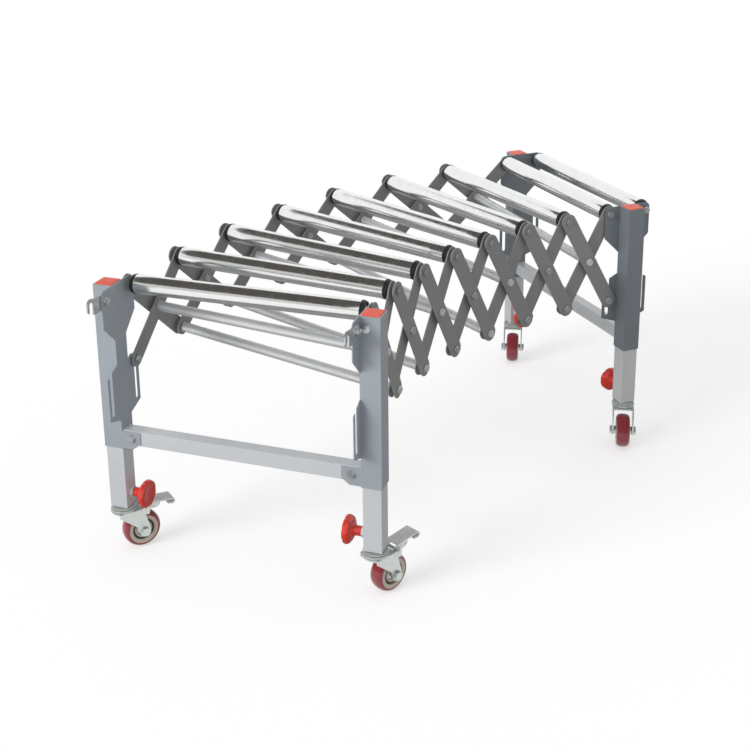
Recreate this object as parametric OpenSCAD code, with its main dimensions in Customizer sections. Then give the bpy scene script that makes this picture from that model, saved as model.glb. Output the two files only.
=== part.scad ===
// Expandable roller table on four braked and plain casters, bent into a curve to the right.
// A scissor lattice joins two end frames. The stations of the lattice run from 1 at the near
// frame to 8 at the far frame, and a bay lies between each two neighbouring stations.
// X runs along the table towards the far frame, Y to its left and Z up. The origin is on the
// floor, under the middle of the whole outline. All sizes are in millimetres.

/* [Curve and lattice] */
// Distance between neighbouring stations along the middle of the table
pitch = 143; // [135:1:152]
// Turn of each bay to the right, which curves the table
bend = 6.9; // [4:0.1:8]
// Height of the roller axles over the floor, with the legs pushed in
axle_h = 550; // [540:1:620]
// Distance from the middle pivot of an arm to each end pivot
arm_reach = 115.5; // [112:0.5:125]
// Width of the lattice arms
arm_w = 35; // [28:1:38]
// Thickness of the lattice arms
arm_t = 2.5; // [2:0.1:4]
// Distance from the middle line to the middle of each side plate
side_w = 244.5; // [200:0.5:300]
// Gap between a side plate and the inner arms
gap_in = 3.8; // [3.8:0.1:5]
// Gap between a side plate and the outer arms
gap_out = 2.7; // [2.7:0.1:4]
// Diameter of the pivot bolts and axles
pin_d = 8; // [6:0.5:9]
// Radial clearance of a turning fit
run_fit = 0.05; // [0.03:0.01:0.1]
// Radial clearance in the lower pivots, which take up the flex of the lattice
loose_fit = 0.4; // [0.3:0.05:0.6]
// Diameter of the spacers between the plates
collar_d = 13; // [11:0.5:15]
// Diameter of the washers
washer_d = 16; // [14:0.5:20]
// Thickness of the washers
washer_t = 1.2; // [0.8:0.1:2]
// Width across flats of the bolt heads and nuts
head_d = 13; // [11:0.5:15]
// Height of the bolt heads and nuts
head_h = 4; // [3:0.5:7]
// Diameter of the tubes that tie the two sides of the lattice together
tie_d = 20; // [16:1:24]

/* [Rollers] */
// Diameter of the rollers
roller_d = 38; // [32:1:40]
// Wall of the roller tubes
roller_wall = 1.5; // [1:0.1:3]
// Length of the bearing cap at each end of a roller
cap_len = 9; // [6:1:14]
// Gap between the ends of a roller and the inner arms
roller_gap = 1.5; // [1.5:0.1:4]

/* [End frames] */
// Distance from the axle line of a frame to its posts
post_in = 25; // [22:1:32]
// Outside width of the square posts
post_w = 40; // [38:1:50]
// Thickness of the bracket sleeves and their side plates
plate_t = 2; // [1.6:0.1:3]
// Height of the post tops over the axles
post_rise = 16.5; // [12:0.5:18]
// Depth of the bracket sleeves below the axles
sleeve_drop = 318; // [310:1:340]
// How far the side plates reach past the axle line
wing_reach = 12; // [10:1:16]
// Rounding of the upper corners of the side plates
wing_round = 11; // [6:1:16]
// Depth of the outer edge of the upper side plates below the axles
wing_drop = 56; // [40:1:70]
// Depth of the lower side plates' upper edge below the axles
low_top = 142; // [120:1:145]
// Depth of the lower side plates' lower edge below the axles
low_end = 258; // [250:1:270]
// How much the side plates slant from the post to their outer edge
wing_slant = 36; // [20:1:40]
// Depth of the highest point of the slots below the axles
slot_top = 149.5; // [146:0.5:149.5]
// Depth of the lowest point of the slots below the axles
slot_end = 239; // [232:1:245]
// Side play of the sliding pivots in their slots
slot_play = 0.6; // [0.5:0.1:1]
// End play of the sliding pivots beside the side plates
slide_play = 1.8; // [1.6:0.1:2.2]
// Wall of the leg tubes
leg_wall = 2; // [1.5:0.1:3]
// Reach of the gusset plates towards the middle
gusset_reach = 38; // [30:1:50]
// Depth of the gusset plates' upper edge below the axles
gusset_top = 280; // [275:1:285]
// Height of the gusset plates
gusset_h = 36; // [30:1:38]
// Height of the crossbars
bar_h = 30; // [24:1:32]
// Depth of the crossbars along the table
bar_d = 25; // [20:1:32]
// Wall of the crossbars
bar_wall = 1.5; // [1.2:0.1:3]
// Height of the post caps over the post tops
cap_rise = 1.6; // [1:0.1:2.5]
// Depth of the post caps' plugs in the posts
cap_plug = 12; // [8:1:16]

/* [Sliding legs and knobs] */
// Clearance between a leg tube and the leg that slides in it
leg_fit = 0.3; // [0.2:0.05:0.5]
// Wall of the sliding legs
slide_wall = 2; // [1.5:0.1:3]
// Free room between the tops of the sliding legs and the post caps
slide_room = 23.5; // [15:0.5:60]
// Height of the knobs over the lower end of the leg tubes
knob_up = 29; // [26:1:40]
// Diameter of the clamping knobs over their lobes
knob_d = 56; // [44:1:60]
// Thickness of the knobs' lobed heads
knob_t = 21; // [16:1:26]
// Distance from the leg tube to the front of a knob
knob_reach = 49; // [40:1:60]
// Number of lobes on a knob
knob_lobes = 7; // [5:1:9]

/* [Casters] */
// Diameter of the caster wheels
wheel_d = 76; // [70:1:78]
// Room over the caster wheels for the fork and the swivel rings, up to the leg tubes
caster_over = 25; // [24:0.5:30]
// Width of the caster wheels
wheel_w = 30; // [22:1:32]
// Thickness of the tread
tread_t = 8; // [5:1:10]
// Distance from the swivel axis to the wheel's axle
trail = 32; // [28:1:38]
// Inside width of the forks
fork_in = 42; // [40:1:48]
// Thickness of the fork plates
fork_t = 3; // [2:0.5:4]
// Height of each of the two swivel rings
ring_h = 6; // [5:0.5:7]
// Diameter of the lower swivel rings
ring_d = 50; // [46:1:54]
// Gap between the two swivel rings
ring_gap = 0.3; // [0.2:0.1:0.5]
// Diameter of the wheel axles
wheel_pin_d = 10; // [8:0.5:12]
// Way in which the near left caster trails
trail_nl = 345; // [0:1:359]
// Way in which the near right caster trails
trail_nr = 357; // [0:1:359]
// Way in which the far left caster trails
trail_fl = 215; // [0:1:359]
// Way in which the far right caster trails
trail_fr = 215; // [0:1:359]
// Width of the brake pedals
pedal_w = 31; // [26:1:34]
// Length of the brake pedals behind their pivots
pedal_len = 57; // [45:1:66]
// Thickness of the brake pedals
pedal_t = 2.5; // [2:0.1:3]
// Diameter of the pedals' pivot pins
pedal_pin_d = 5; // [4:0.5:6]
// How far the near left pedal is pressed, in degrees
press_nl = 11; // [0:1:12]
// How far the near right pedal is pressed, in degrees
press_nr = 0; // [0:1:12]

/* [Link hooks] */
// Distance from the post to the hooks' pivots
hook_out = 22; // [20:1:26]
// Thickness of the hooks
hook_t = 3; // [2:0.5:4]
// Half height of the hook plates
hook_half = 14; // [11:0.5:16]
// Distance from a hook's pivot to the middle of its notch
hook_reach = 46; // [40:1:60]
// Width of the notch in the hooks
notch_w = 12; // [10:0.5:14]
// Thickness of the hooks' noses
nose_t = 7; // [5:0.5:9]

/* [Hidden] */
bays = 7;
rho = pitch/(2*sin(bend/2));
head_angle = (bays/2)*bend;
function station_angle(i) = (i - (bays + 2)/2)*bend;
// Half pitch and depth of the middle pivots on the right (-1) and left (1) side
function half_at(s) = (rho + s*side_w)*sin(bend/2);
function drop_at(s) = sqrt(arm_reach*arm_reach - half_at(s)*half_at(s));
side_c = side_w*cos(bend/2);
sag = side_w - side_c;
tilt_c = atan2(drop_at(-1) - drop_at(1), 2*side_c);
tilt_b = atan2(drop_at(-1) - drop_at(1), side_w);
mid_c = (drop_at(-1) + drop_at(1))/2;
// Layers of the plates on one side, as distances from the middle line
pl0 = side_w - plate_t/2;
pl1 = side_w + plate_t/2;
in1 = pl0 - gap_in;
in0 = in1 - arm_t;
out0 = pl1 + gap_out;
out1 = out0 + arm_t;
// A round piece that is square to a pivot leans on the plates by these angles
lean_p = bend/2;
lean_c = tilt_c;
lean_b = norm([bend/2, tilt_b]);
function lean_gap(d, lean) = d/2*sin(lean) + 0.12;
roller_half = in0 - roller_gap;
post_out = post_in + post_w;
post_mid = post_in + post_w/2;
leg_w = post_w - 2*plate_t;
leg_y = pl0 + post_w/2;
slide_w = leg_w - 2*leg_wall - 2*leg_fit;
wing_far = post_out + post_in + wing_reach;
hook_x = post_out + hook_out;
hook_z = -5;
notch_z = 8;
hook_y0 = pl1 + 0.4;
slot_w = pin_d + 2*slot_play;
wheel_r = wheel_d/2;
leg_floor = wheel_d + caster_over;
leg_drop = axle_h - leg_floor;
slide_len = leg_drop + post_rise - cap_plug - slide_room;
ring_top = leg_floor - 0.3;
fork_top = ring_top - 2*ring_h - ring_gap;
// Pivot of the brake pedals, over and behind the swivel ring, and the curl of their tips
pedal_x = 38;
pedal_z = wheel_d + 10;
curl_r = 6;
// Outline on the floor plan, for the place of the origin
tail = trail + wheel_r;
x_far = (rho + roller_half - 3)*sin(head_angle) + (post_out + post_in + roller_d/2 + 0.5)*cos(head_angle);
x_hook = (rho + hook_y0 + hook_t)*sin(head_angle)
    + (hook_x + hook_reach + notch_w/2 + nose_t)*cos(head_angle);
y_left = (rho + out1 + washer_t + head_h + 2)*cos(bend/2) - rho;
y_right = -rho + (rho - leg_y)*cos(head_angle) - post_mid*sin(head_angle)
    - tail*abs(sin(trail_fr)) - wheel_w/2*abs(cos(trail_fr));
x_mid = (x_hook - x_far)/2;
y_mid = -(y_left + y_right)/2;

// ---- Frames of reference

// A frame that turns with the curve, with its origin at height 0 over the axle plane
module at_angle(a) translate([x_mid, y_mid - rho, axle_h]) rotate([0, 0, -a]) children();
module at_station(i) at_angle(station_angle(i)) translate([0, rho, 0]) children();
module at_bay(i) at_angle(station_angle(i) + bend/2) translate([0, rho*cos(bend/2), 0]) children();
// The lines of the middle and lower pivots lie aslant, because the arms of the two sides
// stand at different angles in a curved table. Y runs along the pivot line.
module on_c(i) at_bay(i) translate([0, 0, -mid_c]) rotate([tilt_c, 0, 0]) children();
module on_b(i) at_station(i) translate([0, 0, -2*mid_c]) rotate([tilt_b, 0, 0]) children();
// One post of an end frame: x outward along the table, y outward to the side
module at_frame(e) at_station(e < 0 ? 1 : bays + 1) mirror([e < 0 ? 1 : 0, 0, 0]) children();
module at_post(e, s) at_frame(e) mirror([0, s < 0 ? 1 : 0, 0]) children();
// The swivel axis of a caster at floor height, with x towards the trailing side
module at_caster(e, s, turn) {
    a = e*head_angle;
    translate([x_mid, y_mid - rho, 0]) rotate([0, 0, -a]) translate([e*post_mid, rho + s*leg_y, 0])
        rotate([0, 0, turn + a]) children();
}

// ---- Turned pieces along Y

module turned(a, b, d, fn = 32) translate([0, a, 0]) rotate([-90, 0, 0]) cylinder(d = d, h = b - a, $fn = fn);
module both_sides() for (s = [-1, 1]) mirror([0, s < 0 ? 1 : 0, 0]) children();
// A washer with a hexagon head or nut behind it, starting at y
module head(y) {
    turned(y, y + washer_t, washer_d);
    turned(y + washer_t, y + washer_t + head_h, head_d/cos(30), 6);
}
module inner_head(y) mirror([0, 1, 0]) head(-y);

// A pivot bolt on one side of the lattice, along a pivot line with the given slope. The two
// distances are those of the faces that its heads hold, and a collar fills the gap between.
module pivot_bolt(slope, lean, inner, outer, collar0, collar1) {
    k = 1/cos(slope);
    a = inner*k - lean_gap(washer_d, lean);
    b = outer*k + lean_gap(washer_d, lean);
    c0 = collar0*k + lean_gap(collar_d, lean);
    c1 = collar1*k - lean_gap(collar_d, lean);
    turned(a - 1, b + 1, pin_d);
    if (c1 > c0 + 0.5) turned(c0, c1, collar_d);
    head(b);
    inner_head(a);
}

// ---- Lattice arms

module strap(x0, z0, x1, z1) {
    len = norm([x1 - x0, z1 - z0]);
    // The straight part is a hair narrower than the round ends, so that their arcs cross it
    w = arm_w - 0.04;
    translate([x0, z0]) rotate(atan2(z1 - z0, x1 - x0)) translate([0, -w/2]) square([len, w]);
    for (p = [[x0, z0], [x1, z1]]) translate(p) circle(d = arm_w, $fn = 48);
}
// An arm of bay i on side s. The outer arms fall towards the far frame and the inner arms rise.
module arm(i, s, outer) {
    h = half_at(s);
    d = drop_at(s);
    f = outer ? -1 : 1;
    off = outer ? (out0 + out1)/2 - side_w : (in0 + in1)/2 - side_w;
    top = outer ? i : i + 1;
    low = outer ? i + 1 : i;
    lower_fit = outer || low == 1 ? run_fit : loose_fit;
    difference() {
        at_bay(i) translate([0, s*(side_c + off), 0]) rotate([90, 0, 0])
            linear_extrude(arm_t, center = true) strap(f*h, 0, -f*h, -2*d);
        at_station(top) drill(s, pin_d + 2*run_fit);
        on_c(i) drill(s, pin_d + 2*run_fit);
        on_b(low) drill(s, pin_d + 2*lower_fit);
    }
}
module drill(s, d) turned(s*(side_w + 2) - 14, s*(side_w + 2) + 14, d);

// The outer arms of a bay, with the bolts that aren't tied to the other side
module arms_a(i) color("#6f7070") {
    for (s = [-1, 1]) arm(i, s, true);
    if (i % 2 == 0) on_c(i) both_sides()
        pivot_bolt(tilt_c, lean_c, in0 - sag, out1 - sag, in1 - sag, out0 - sag);
    if (i == 3 || i == 5 || i == 6) on_b(i + 1) both_sides()
        pivot_bolt(tilt_b, lean_b, in0, out1, in1, out0);
    // The last lower pivots slide in the slots of the far frame
    if (i == bays) on_b(i + 1) both_sides()
        pivot_bolt(tilt_b, lean_b, pl0 - slide_play, out1, pl1 + slide_play, out0);
}
// The inner arms of a bay, with the axle of the roller at their upper ends
module arms_b(i) color("#77797a") {
    for (s = [-1, 1]) arm(i, s, false);
    at_station(i + 1) both_sides_axle(i == bays ? pl1 + 0.3 : out1 + lean_gap(washer_d, lean_p))
        turned(in1 + lean_gap(collar_d, lean_p),
            i == bays ? pl0 - 0.3 : out0 - lean_gap(collar_d, lean_p), collar_d);
    // The first lower pivots slide in the slots of the near frame
    if (i == 1) on_b(1) both_sides()
        pivot_bolt(tilt_b, lean_b, in0, pl1 + slide_play, in1, pl0 - slide_play);
}
// An axle that runs through, with its heads at y and the spacers given as children
module both_sides_axle(y) {
    turned(-y - 1, y + 1, pin_d);
    both_sides() {
        head(y);
        children();
    }
}
// A tube that ties the two sides, on the bolt that runs through it
module tie(slope, lean, sag) color("#b9bcc0") {
    k = 1/cos(slope);
    end = (in0 - sag)*k - lean_gap(tie_d, lean);
    b = (out1 - sag)*k + lean_gap(washer_d, lean);
    difference() {
        turned(-end, end, tie_d, 40);
        turned(-end - 1, end + 1, pin_d + 2*run_fit);
    }
    turned(-b - 1, b + 1, pin_d);
    both_sides() {
        turned((in1 - sag)*k + lean_gap(collar_d, lean), (out0 - sag)*k - lean_gap(collar_d, lean), collar_d);
        head(b);
    }
}
module tie_c(i) on_c(i) tie(tilt_c, lean_c, sag);
module tie_b(i) on_b(i + 1) tie(tilt_b, lean_b, 0);

// ---- Rollers

module roller() color("#d4d7da") {
    len = 2*(roller_half - cap_len);
    rotate([90, 0, 0]) difference() {
        cylinder(d = roller_d, h = len, center = true, $fn = 64);
        cylinder(d = roller_d - 2*roller_wall, h = len + 2, center = true, $fn = 64);
    }
    both_sides() roller_cap();
}
// The black bearing cap: a plug in the tube with a rim that covers its edge
module roller_cap() color("#26272a") rotate([-90, 0, 0]) rotate_extrude($fn = 64) {
    r0 = pin_d/2 + run_fit;
    r1 = roller_d/2 - roller_wall;
    y0 = roller_half - cap_len;
    polygon([[r0, y0 - 8], [r1, y0 - 8], [r1, y0], [roller_d/2 + 0.5, y0], [roller_d/2 + 0.5, roller_half - 3],
        [roller_d/2 - 2.5, roller_half], [r0 + 5, roller_half], [r0 + 5, roller_half - 2], [r0, roller_half - 2]]);
}

// ---- End frames

// Outline of the upper side plates, with rounded corners: x along the table, y up
module upper_wing() {
    cx = wing_far - wing_round;
    polygon([[post_mid, post_rise], [cx, post_rise], [wing_far, post_rise - wing_round],
        [wing_far, -wing_drop], [post_out, -wing_drop - wing_slant], [post_mid, -wing_drop - wing_slant]]);
    translate([cx, post_rise - wing_round]) circle(r = wing_round, $fn = 48);
}
module lower_wing() {
    difference() {
        polygon([[post_mid, -low_top], [post_out, -low_top], [wing_far, -low_top - wing_slant/2],
            [wing_far, -low_end + 13], [post_out, -low_end], [post_mid, -low_end]]);
        slot();
    }
}
module slot() {
    x = post_out + post_in;
    for (z = [-slot_top - slot_w/2, -slot_end + slot_w/2]) translate([x, z]) circle(d = slot_w, $fn = 32);
    translate([x - slot_w/2, -slot_end + slot_w/2]) square([slot_w, slot_end - slot_top - slot_w]);
}
// Sleeve round a post with its side plates and its gusset, outer corners rounded
module bracket(e) {
    difference() {
        union() {
            translate([post_in, pl0, -sleeve_drop]) cube([post_w, post_w, sleeve_drop + post_rise]);
            for (m = [0, 1]) translate([post_mid, pl1, 0]) mirror([m, 0, 0]) translate([-post_mid, 0, 0])
                rotate([90, 0, 0]) linear_extrude(plate_t) {
                    upper_wing();
                    lower_wing();
                }
            gusset();
        }
        translate([post_in + plate_t, pl0 + plate_t, -sleeve_drop - 1])
            cube([leg_w, leg_w, sleeve_drop + post_rise + 2]);
        // Axle holes in both side plates, and the bolt through the post
        for (x = [0, post_out + post_in]) translate([x, 0, 0]) {
            if (e > 0 || x == 0) turned(pl0 - 1, pl1 + 1, pin_d + 2*run_fit);
        }
        if (e < 0) translate([hook_x, 0, hook_z]) turned(pl0 - 1, pl1 + 1, pin_d + 2*run_fit);
        translate([post_out, pl0 + 14, -6]) rotate([0, 90, 0])
            cylinder(d = pin_d + 2*run_fit, h = 2*plate_t + 1, center = true, $fn = 32);
        translate([post_out, gusset_bolt_y(), gusset_bolt_z()]) rotate([0, 90, 0])
            cylinder(d = pin_d + 2*run_fit, h = 3*plate_t, center = true, $fn = 32);
    }
}
function gusset_bolt_y() = pl0 - gusset_reach/2;
function gusset_bolt_z() = -gusset_top + 2 - bar_h/2;
module gusset() translate([post_out - plate_t, 0, 0]) rotate([90, 0, 90]) linear_extrude(plate_t)
    polygon([[pl0 - gusset_reach, -gusset_top], [pl0 + 5, -gusset_top], [pl0 + 5, -gusset_top - gusset_h],
        [pl0 - gusset_reach + 16, -gusset_top - gusset_h], [pl0 - gusset_reach, -gusset_top - gusset_h + 12]]);
module brackets(e) color(e < 0 ? "#8b9198" : "#5f6569") for (s = [-1, 1]) at_post(e, s) bracket(e);

module leg_tube() {
    difference() {
        translate([post_in + plate_t, pl0 + plate_t, -leg_drop]) cube([leg_w, leg_w, leg_drop + post_rise]);
        translate([post_in + plate_t + leg_wall, pl0 + plate_t + leg_wall, -leg_drop - 1])
            cube([leg_w - 2*leg_wall, leg_w - 2*leg_wall, leg_drop + post_rise + 2]);
        translate([post_out, pl0 + 14, -6]) rotate([0, 90, 0])
            cylinder(d = pin_d + 2*run_fit, h = 4*leg_wall + 3, center = true, $fn = 32);
        translate([post_mid, 0, knob_up - leg_drop]) turned(pl0, pl0 + plate_t + leg_wall + 1, pin_d + 2*run_fit);
    }
    // Threaded boss for the clamping knob
    translate([post_mid, 0, knob_up - leg_drop]) difference() {
        turned(pl0 + plate_t - 8, pl0 + plate_t, 22, 6);
        turned(pl0 + plate_t - 9, pl0 + plate_t + 1, pin_d + 2*run_fit);
    }
}
module legs(e) color("#c5c9cf") for (s = [-1, 1]) at_post(e, s) leg_tube();

module crossbar(e) color("#b4b8bd") at_frame(e) difference() {
    x0 = post_out - plate_t - bar_d;
    translate([x0, -pl0 + 0.3, gusset_bolt_z() - bar_h/2]) cube([bar_d, 2*pl0 - 0.6, bar_h]);
    translate([x0 + bar_wall, -pl0 - 1, gusset_bolt_z() - bar_h/2 + bar_wall])
        cube([bar_d - 2*bar_wall, 2*pl0 + 2, bar_h - 2*bar_wall]);
    both_sides() translate([post_out - plate_t, gusset_bolt_y(), gusset_bolt_z()]) rotate([0, 90, 0])
        cylinder(d = pin_d + 2*run_fit, h = 2*bar_wall + 1, center = true, $fn = 32);
}

// Plug in the top of a leg tube with a low pillow-shaped head
module cap() translate([post_mid, leg_y, post_rise]) {
    w = leg_w - 2*leg_wall - 2*leg_fit;
    translate([-w/2, -w/2, -cap_plug]) cube([w, w, cap_plug]);
    hull() for (x = [-1, 1], y = [-1, 1]) translate([x*(leg_w/2 - 3), y*(leg_w/2 - 3), 0]) {
        cylinder(r = 2.6, h = cap_rise - 0.8, $fn = 32);
        cylinder(r = 1.6, h = cap_rise, $fn = 32);
    }
}
module caps(e) color("#ee5645") for (s = [-1, 1]) at_post(e, s) cap();

// Short hexagon bolt that points inward along x, seated on the face at x = 0
module face_bolt(len) rotate([0, 0, -90]) {
    turned(-len, 1, pin_d);
    head(0);
}
module frame_bolts(e) color("#c9ccd0") {
    for (s = [-1, 1]) at_post(e, s) {
        translate([post_out, pl0 + 14, -6]) face_bolt(plate_t + leg_wall + 4);
        translate([post_out, gusset_bolt_y(), gusset_bolt_z()]) face_bolt(plate_t + bar_wall + 4);
        if (e < 0) translate([hook_x, 0, hook_z]) {
            turned(pl0 - 2, hook_y0 + hook_t + 1, pin_d);
            head(hook_y0 + hook_t + 0.3);
            inner_head(pl0);
        }
    }
    // The near frame carries the first axle, with the outer arms on it, and the far frame the last
    at_frame(e) translate([e < 0 ? 0 : post_out + post_in, 0, 0])
        both_sides_axle(e < 0 ? out1 + lean_gap(washer_d, lean_p) : link_end) {
            turned(roller_half + 0.3, pl0, collar_d);
            if (e < 0) turned(pl1, out0 - lean_gap(collar_d, lean_p), collar_d);
        }
}
// The heads of the last axle stand off, to leave a free neck for the hooks of the next table
link_end = pl1 + hook_t + 2;

// ---- Sliding legs and knobs

module slide_leg(e, s) color("#b9bdc2") at_post(e, s) translate([post_mid, leg_y, -leg_drop]) {
    difference() {
        translate([-slide_w/2, -slide_w/2, 0]) cube([slide_w, slide_w, slide_len]);
        translate([-slide_w/2 + slide_wall, -slide_w/2 + slide_wall, 6])
            cube([slide_w - 2*slide_wall, slide_w - 2*slide_wall, slide_len]);
    }
    // End plate and upper swivel ring, and the kingpin that the fork turns on
    translate([-slide_w/2, -slide_w/2, -0.3]) cube([slide_w, slide_w, 1]);
    translate([0, 0, -ring_h - 0.3]) cylinder(d = ring_d - 8, h = ring_h, $fn = 48);
    translate([0, 0, fork_top - fork_t - leg_floor - 3.3]) {
        cylinder(d = pin_d + 4, h = ring_h*2 + fork_t + 4, $fn = 32);
        cylinder(d = pin_d + 12, h = 3, $fn = 48);
    }
}

module knob(e, s) color("#e8392a") at_post(e, s) translate([post_mid, 0, knob_up - leg_drop]) {
    y0 = pl0 + plate_t;
    front = y0 - knob_reach;
    turned(front + 5, y0 + leg_wall - 0.1, pin_d);
    turned(front + knob_t - 2, y0 - 8.5, 20);
    difference() {
        translate([0, front, 0]) rotate([-90, 0, 0]) rotate_extrude($fn = 64)
            polygon([[0, 0], [knob_d/2 - 5, 0], [knob_d/2 - 1.5, 1.2], [knob_d/2, 4], [knob_d/2 - 1, 7],
                [knob_d/3, knob_t - 1], [knob_d/3 - 2, knob_t], [0, knob_t]]);
        for (k = [0:knob_lobes - 1]) rotate([0, (k + 0.5)*360/knob_lobes, 0]) translate([knob_d/2 + 2.5, 0, 0])
            turned(front - 1, front + knob_t + 1, knob_d/4.6, 32);
    }
}

// ---- Casters

// Outline of a fork plate, with an ear for the pedal's pin on a braked caster
module fork_side(braked) difference() {
    union() {
        polygon([[-18, fork_top], [30, fork_top], [trail + 11, wheel_r + 8], [trail + 11, wheel_r],
            [trail - 11, wheel_r], [trail - 14, wheel_r + 12], [-18, fork_top - 8]]);
        translate([trail, wheel_r]) circle(r = 11, $fn = 40);
        if (braked) {
            translate([pedal_x, pedal_z]) circle(r = 7, $fn = 32);
            polygon([[20, fork_top - 12], [pedal_x + 4.5, pedal_z - 12], [pedal_x + 7, pedal_z],
                [pedal_x, pedal_z + 7], [28, fork_top]]);
        }
    }
    translate([trail, wheel_r]) circle(d = wheel_pin_d + 2*run_fit, $fn = 32);
    if (braked) translate([pedal_x, pedal_z]) circle(d = pedal_pin_d + 2*run_fit, $fn = 32);
}
module fork(e, s, turn) color("#d9dde0") at_caster(e, s, turn) {
    w = fork_in/2 + fork_t;
    braked = e < 0;
    if (braked) translate([pedal_x, 0, pedal_z]) {
        turned(-w - 1, w + 1, pedal_pin_d);
        both_sides() turned(w, w + 1.5, pedal_pin_d + 3);
    }
    difference() {
        union() {
            translate([0, 0, fork_top - fork_t]) intersection() {
                translate([-30, -w, 0]) cube([60, 2*w, fork_t]);
                translate([4, 0, 0]) cylinder(r = 30, h = fork_t, $fn = 64);
            }
            translate([0, 0, fork_top - 0.5]) cylinder(d = ring_d, h = ring_h + 0.5, $fn = 64);
            for (y = [-w, w - fork_t]) translate([0, y + fork_t, 0]) rotate([90, 0, 0])
                linear_extrude(fork_t) fork_side(braked);
        }
        translate([0, 0, fork_top - 10]) cylinder(d = pin_d + 4 + 2*run_fit, h = 30, $fn = 32);
    }
    // Wheel axle with its head and nut
    translate([trail, 0, wheel_r]) {
        turned(-w - 1, w + 1, wheel_pin_d);
        both_sides() turned(w, w + 5.5, 16/cos(30), 6);
    }
}
module wheel(e, s, turn) at_caster(e, s, turn) translate([trail, 0, wheel_r]) rotate([90, 0, 0]) {
    w = wheel_w/2;
    rim = wheel_r - tread_t;
    color("#7d2a3c") rotate_extrude($fn = 72)
        polygon([[rim, -w], [wheel_r - 3, -w], [wheel_r, -w + 4], [wheel_r, w - 4], [wheel_r - 3, w], [rim, w]]);
    color("#d8cbbd") rotate_extrude($fn = 72) {
        r0 = wheel_pin_d/2 + run_fit;
        hub = fork_in/2 - 0.5;
        polygon([[r0, -hub], [12, -hub], [12, -w + 5], [rim - 4, -w + 5], [rim - 3, -w], [rim, -w],
            [rim, w], [rim - 3, w], [rim - 4, w - 5], [12, w - 5], [12, hub], [r0, hub]]);
    }
}
// Brake pedal: a channel between the fork plates, with a brake shoe over the wheel and a tip
// that curls down. It is pressed down by the given angle.
module pedal(s, turn, pressed) color("#cfd3d6") at_caster(-1, s, turn)
    translate([pedal_x, 0, pedal_z]) rotate([0, pressed, 0]) difference() {
        tip = pedal_len;
        union() {
            rotate([90, 0, 0]) linear_extrude(pedal_w, center = true) {
                polygon([[4, 6], [tip, 11], [tip, 11 + pedal_t], [2, 6 + pedal_t]]);
                translate([tip, 11 + pedal_t - curl_r]) difference() {
                    circle(r = curl_r, $fn = 40);
                    circle(r = curl_r - pedal_t, $fn = 40);
                    translate([-2*curl_r, -2*curl_r]) square([2*curl_r, 4*curl_r]);
                }
                translate([tip - 9, 11 + pedal_t - 2*curl_r]) square([9, pedal_t]);
            }
            for (y = [-pedal_w/2, pedal_w/2 - pedal_t]) translate([0, y + pedal_t, 0]) rotate([90, 0, 0])
                linear_extrude(pedal_t) {
                    circle(r = 6.5, $fn = 32);
                    polygon([[-2, 6], [30, 9.5], [30, 3], [22, -3], [5, -4]]);
                }
            translate([8, 0, -6]) turned(-pedal_w/2 + 1, pedal_w/2 - 1, 6);
        }
        turned(-pedal_w, pedal_w, pedal_pin_d + 2*run_fit);
        translate([24, 0, 2.5]) turned(-pedal_w, pedal_w, 4);
    }

// ---- Link hooks

// Plate round the pivot with a nose that bends over and down, leaving a notch open below
module hook(s) color("#c3c6ca") at_post(-1, s) translate([hook_x, hook_y0 + hook_t, hook_z])
    rotate([90, 0, 0]) linear_extrude(hook_t) {
        r = notch_w/2;
        big = r + nose_t;
        top = [hook_reach, notch_z];
        difference() {
            polygon(concat(
                arc([0, 0], hook_half, 90, 270, 16),
                [[hook_reach - r, -hook_half + 1]],
                arc(top, r, 180, 0, 12),
                [[hook_reach + r, -2], [hook_reach + r + 1.5, -6], [hook_reach + big, -1]],
                arc(top, big, 0, 130, 16)));
            circle(d = pin_d + 2*run_fit, $fn = 32);
        }
    }
function arc(c, r, a0, a1, n) = [for (k = [0:n]) c + r*[cos(a0 + (a1 - a0)*k/n), sin(a0 + (a1 - a0)*k/n)]];

brackets(-1);  // near_brackets
legs(-1);  // near_legs
crossbar(-1);  // near_crossbar
caps(-1);  // near_caps
frame_bolts(-1);  // near_bolts
brackets(1);  // far_brackets
legs(1);  // far_legs
crossbar(1);  // far_crossbar
caps(1);  // far_caps
frame_bolts(1);  // far_bolts
arms_a(1);  // arms_a1
arms_a(2);  // arms_a2
arms_a(3);  // arms_a3
arms_a(4);  // arms_a4
arms_a(5);  // arms_a5
arms_a(6);  // arms_a6
arms_a(7);  // arms_a7
arms_b(1);  // arms_b1
arms_b(2);  // arms_b2
arms_b(3);  // arms_b3
arms_b(4);  // arms_b4
arms_b(5);  // arms_b5
arms_b(6);  // arms_b6
arms_b(7);  // arms_b7
tie_c(1);  // tie_c1
tie_c(3);  // tie_c3
tie_c(5);  // tie_c5
tie_c(7);  // tie_c7
tie_b(1);  // tie_b1
tie_b(2);  // tie_b2
tie_b(4);  // tie_b4
at_station(1) roller();  // roller_1
at_station(2) roller();  // roller_2
at_station(3) roller();  // roller_3
at_station(4) roller();  // roller_4
at_station(5) roller();  // roller_5
at_station(6) roller();  // roller_6
at_station(7) roller();  // roller_7
at_station(8) roller();  // roller_8
at_frame(1) translate([post_out + post_in, 0, 0]) roller();  // roller_9
slide_leg(-1, 1);  // slide_leg_nl
slide_leg(-1, -1);  // slide_leg_nr
slide_leg(1, 1);  // slide_leg_fl
slide_leg(1, -1);  // slide_leg_fr
knob(-1, 1);  // knob_nl
knob(-1, -1);  // knob_nr
knob(1, 1);  // knob_fl
knob(1, -1);  // knob_fr
fork(-1, 1, trail_nl);  // fork_nl
fork(-1, -1, trail_nr);  // fork_nr
fork(1, 1, trail_fl);  // fork_fl
fork(1, -1, trail_fr);  // fork_fr
wheel(-1, 1, trail_nl);  // wheel_nl
wheel(-1, -1, trail_nr);  // wheel_nr
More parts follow.
